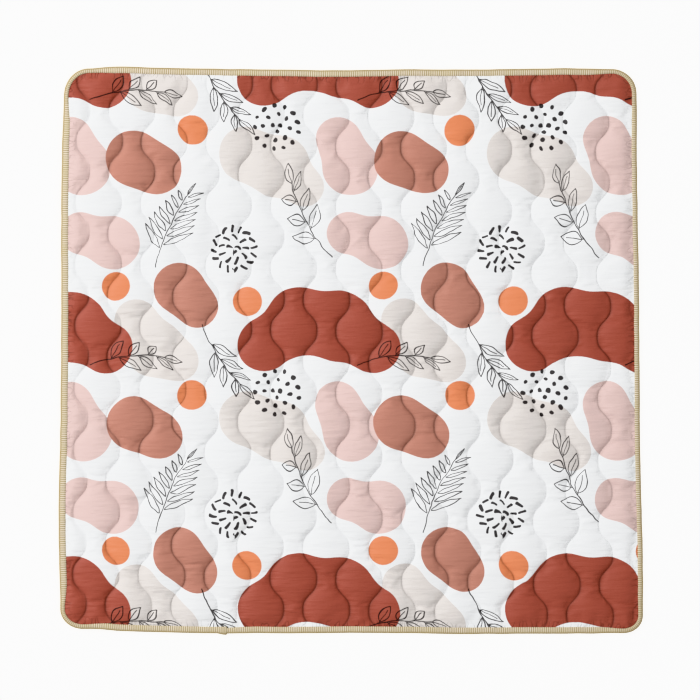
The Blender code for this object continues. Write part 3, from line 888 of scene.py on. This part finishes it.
def fabricMaterial():
    material = bpy.data.materials.new("printedCloth")
    material.use_nodes = True
    tree = material.node_tree
    shader = tree.nodes["Principled BSDF"]
    leaf = leafGroup()
    groups = {"sprig": sprigGroup(leaf), "marks": marksGroup()}
    u, v = (times(tree, field(tree, name), 1000.0) for name in ("clothU", "clothV"))
    spot = tree.nodes.new("ShaderNodeCombineXYZ")
    tree.links.new(u, spot.inputs[0])
    tree.links.new(v, spot.inputs[1])
    wobbleX = speckle(tree, spot.outputs[0], 0.035, 1.0)
    wobbleY = speckle(tree, stretched(tree, (0.7, -0.9, 1), spot.outputs[0]), 0.04, 1.0)
    wide, high = (size * 1000 for size in printPlan["repeat"])
    ink = None
    for kind, cx, cy, degrees, values in drawings:
        x = calc(tree, "WRAP", minus(tree, u, cx), wide / 2, -wide / 2)
        y = calc(tree, "WRAP", minus(tree, v, cy), high / 2, -high / 2)
        x = plus(tree, x, times(tree, minus(tree, wobbleX, 0.5), cloth["lineWobble"]))
        y = plus(tree, y, times(tree, minus(tree, wobbleY, 0.5), cloth["lineWobble"]))
        sine, cosine = math.sin(math.radians(degrees)), math.cos(math.radians(degrees))
        turnedX = plus(tree, times(tree, x, cosine), times(tree, y, sine))
        turnedY = minus(tree, times(tree, y, cosine), times(tree, x, sine))
        drawn = place(tree, groups[kind], x=turnedX, y=turnedY, **values)["ink"]
        ink = drawn if ink is None else calc(tree, "MAXIMUM", ink, drawn)
    tone = colour(*cloth["ground"])
    for name, shade in cloth["shapes"].items():
        mask = ramp(tree, field(tree, name), -cloth["shapeBlur"], cloth["shapeBlur"], 1.0, 0.0)
        tone = tint(tree, mask, tone, colour(*shade))
    mottle = speckle(tree, stretched(tree, (14, 60, 1)), 1.0, 3.0)
    tone = tint(tree, 1.0, tone, tint(tree, mottle, (0.97, 0.97, 0.97, 1), (1.03, 1.03, 1.03, 1)), "MULTIPLY")
    tone = tint(tree, times(tree, ink, cloth["inkStrength"]), tone, colour(*cloth["ink"]))
    # painted shade in the seam creases: a crease reads deeper the darker its cloth is, since less light
    # bounces about inside it
    lightness = tree.nodes.new("ShaderNodeRGBToBW")
    tree.links.new(tone, lightness.inputs[0])
    shade = ramp(tree, lightness.outputs[0], 0.0, 0.85, cloth["creaseDarkest"], 1.0)
    shadedTone = tint(tree, 1.0, tone, shade, "MULTIPLY")
    away = calc(tree, "MAXIMUM", minus(tree, field(tree, "fromSeam"), cloth["creaseHalf"]), 0.0)
    creaseShade = calc(tree, "EXPONENT", times(tree, away, cloth["creaseFade"]))
    # sharp little pleats that start under the tape, with painted shade in their folds and a bump for their
    # relief
    rimSpot = tree.nodes.new("ShaderNodeCombineXYZ")
    tree.links.new(times(tree, field(tree, "alongRim"), cloth["pleatRates"][0]), rimSpot.inputs[0])
    tree.links.new(times(tree, field(tree, "fromRim"), cloth["pleatRates"][1]), rimSpot.inputs[1])
    folds = calc(tree, "ABSOLUTE", minus(tree, speckle(tree, rimSpot.outputs[0], 1.0, 1.0), 0.5))
    nearRim = ramp(tree, field(tree, "fromRim"), *cloth["pleatReach"], 1.0, 0.0)
    pleats = times(tree, ramp(tree, folds, 0.0, 0.045, 1.0, 0.0), nearRim)
    # painted shade: the crease shade and the pleats' fold shade darken the colour
    depth = calc(tree, "MAXIMUM", creaseShade, times(tree, pleats, cloth["pleatShade"]))
    tone = tint(tree, depth, tone, shadedTone)
    tree.links.new(tone, shader.inputs["Base Color"])
    shader.inputs["Roughness"].default_value = cloth["roughness"]
    shader.inputs["Specular IOR Level"].default_value = cloth["specular"]
    shader.inputs["Sheen Weight"].default_value = cloth["sheen"]
    shader.inputs["Sheen Roughness"].default_value = cloth["sheenRoughness"]
    weave = speckle(tree, stretched(tree, cloth["weaveRates"]), 1.0, 1.0)
    crinkle = speckle(tree, stretched(tree, cloth["crinkleRates"]), 1.0, 3.0, 0.5)
    relief = plus(tree, crinkle, times(tree, weave, cloth["weaveRelief"]))
    relief = minus(tree, relief, times(tree, pleats, cloth["pleatRelief"]))
    bump = tree.nodes.new("ShaderNodeBump")
    bump.inputs["Strength"].default_value = cloth["bumpStrength"]
    bump.inputs["Distance"].default_value = cloth["bumpDistance"]
    tree.links.new(relief, bump.inputs["Height"])
    tree.links.new(bump.outputs["Normal"], shader.inputs["Normal"])
    return material


backing = {"low": (226, 224, 219), "high": (240, 238, 234)}


def backMaterial():
    material = bpy.data.materials.new("backingCloth")
    material.use_nodes = True
    tree = material.node_tree
    shader = tree.nodes["Principled BSDF"]
    mottle = speckle(tree, stretched(tree, (90, 90, 1)), 1.0, 3.0)
    tone = tint(tree, mottle, colour(*backing["low"]), colour(*backing["high"]))
    tree.links.new(tone, shader.inputs["Base Color"])
    shader.inputs["Roughness"].default_value = 0.85
    shader.inputs["Sheen Weight"].default_value = 0.15
    weave = speckle(tree, stretched(tree, (500, 500, 1)), 1.0, 1.0)
    bump = tree.nodes.new("ShaderNodeBump")
    bump.inputs["Strength"].default_value = 0.4
    bump.inputs["Distance"].default_value = 0.0006
    tree.links.new(weave, bump.inputs["Height"])
    tree.links.new(bump.outputs["Normal"], shader.inputs["Normal"])
    return material


# The tape's colours, each between two shades of its flecks. The ridge and groove colours are painted light
# and painted shade on the ribs, and the lip's colour is painted shade between its teeth
yarnAndPaintedShading = {
    "ridge": ((226, 215, 192), (231, 216, 206)),
    "shadedGroove": ((150, 137, 98), (172, 156, 120)),
    "rolled": ((160, 143, 106), (178, 160, 123)),
    "lip": (158, 142, 104),
    "drift": (190, 176, 128),
    "driftStrength": 0.35,
}


def tapeMaterial():
    material = bpy.data.materials.new("ribbedTape")
    material.use_nodes = True
    tree = material.node_tree
    shader = tree.nodes["Principled BSDF"]
    ridge, ribbed, rim, lip = (field(tree, name) for name in ("ridge", "ribbed", "rimShare", "lipShare"))
    flecks = speckle(tree, stretched(tree, (240, 240, 240)), 1.0, 2.0)
    drift = speckle(tree, stretched(tree, (35, 35, 35)), 1.0, 2.0)
    ridgeLitTone = tint(tree, flecks, *(colour(*shade) for shade in yarnAndPaintedShading["ridge"]))
    grooveShadedTone = tint(tree, flecks, *(colour(*shade) for shade in yarnAndPaintedShading["shadedGroove"]))
    # painted light on the ribs' ridges and painted shade in their grooves
    ribLightShare = times(tree, ramp(tree, ridge, 0.2, 0.8), ramp(tree, ribbed, 0.0, 1.0, 0.5, 1.0))
    knit = tint(tree, ribLightShare, grooveShadedTone, ridgeLitTone)
    # painted shade between the teeth along the tape's inner edge
    knit = tint(tree, times(tree, lip, minus(tree, 1.0, ridge)), knit, colour(*yarnAndPaintedShading["lip"]))
    drifted = ramp(tree, drift, 0.35, 0.75, 0.0, yarnAndPaintedShading["driftStrength"])
    knit = tint(tree, drifted, knit, colour(*yarnAndPaintedShading["drift"]))
    rolled = tint(tree, flecks, *(colour(*shade) for shade in yarnAndPaintedShading["rolled"]))
    knit = tint(tree, rim, knit, rolled)
    tree.links.new(knit, shader.inputs["Base Color"])
    shader.inputs["Roughness"].default_value = 0.8
    shader.inputs["Specular IOR Level"].default_value = 0.25
    shader.inputs["Sheen Weight"].default_value = 0.2
    fibres = speckle(tree, stretched(tree, (900, 900, 900)), 1.0, 2.0)
    bump = tree.nodes.new("ShaderNodeBump")
    bump.inputs["Strength"].default_value = 0.5
    bump.inputs["Distance"].default_value = 0.0006
    tree.links.new(fibres, bump.inputs["Height"])
    tree.links.new(bump.outputs["Normal"], shader.inputs["Normal"])
    return material


# The studio: a pale floor, one broad soft light from the upper left and a pale sky
studio = {
    "floorSize": 12.0,
    "sky": 0.70,
    "floorGlow": 1.4,
    "keyPower": 480.0,
    "keySize": 3.2,
    "keyPlace": (-5.3, 2.6, 4.5),
    "cameraHeight": 7.0,
    "viewWidth": 0.00219 * 700,
}


def buildStudio():
    builder = bmesh.new()
    bmesh.ops.create_grid(builder, x_segments=1, y_segments=1, size=studio["floorSize"] / 2)
    mesh = bpy.data.meshes.new("floor")
    builder.to_mesh(mesh)
    builder.free()
    floor = bpy.data.objects.new("floor", mesh)
    bpy.context.scene.collection.objects.link(floor)
    material = bpy.data.materials.new("paleFloor")
    material.use_nodes = True
    tree = material.node_tree
    shader = tree.nodes["Principled BSDF"]
    shader.inputs["Base Color"].default_value = (0.95, 0.95, 0.95, 1)
    shader.inputs["Roughness"].default_value = 0.9
    shader.inputs["Specular IOR Level"].default_value = 0.0
    # the sweep is lit on its own, so it reads as plain white without lighting the mat
    seen = tree.nodes.new("ShaderNodeLightPath").outputs["Is Camera Ray"]
    tree.links.new(times(tree, seen, studio["floorGlow"]), shader.inputs["Emission Strength"])
    shader.inputs["Emission Color"].default_value = (1, 1, 1, 1)
    mesh.materials.append(material)

    world = bpy.data.worlds.new("sky")
    world.use_nodes = True
    world.node_tree.nodes["Background"].inputs["Color"].default_value = (1, 1, 1, 1)
    world.node_tree.nodes["Background"].inputs["Strength"].default_value = studio["sky"]
    bpy.context.scene.world = world

    lamp = bpy.data.lights.new("key", "AREA")
    lamp.energy = studio["keyPower"]
    lamp.size = studio["keySize"]
    key = bpy.data.objects.new("key", lamp)
    key.location = studio["keyPlace"]
    key.rotation_euler = (Vector((0, 0, 0)) - Vector(studio["keyPlace"])).to_track_quat("-Z", "Y").to_euler()
    bpy.context.scene.collection.objects.link(key)

    lens = bpy.data.cameras.new("camera")
    lens.sensor_width = 36.0
    lens.lens = 36.0 * studio["cameraHeight"] / studio["viewWidth"]
    lens.clip_end = 50.0
    camera = bpy.data.objects.new("camera", lens)
    camera.location = (centring[0], centring[1] + 0.0011, studio["cameraHeight"])
    bpy.context.scene.collection.objects.link(camera)
    bpy.context.scene.camera = camera
    bpy.context.scene.view_settings.view_transform = "Khronos PBR Neutral"
    bpy.context.scene.view_settings.look = "None"


buildStudio()
buildPanel(fabricMaterial(), backMaterial())
buildTape(tapeMaterial())
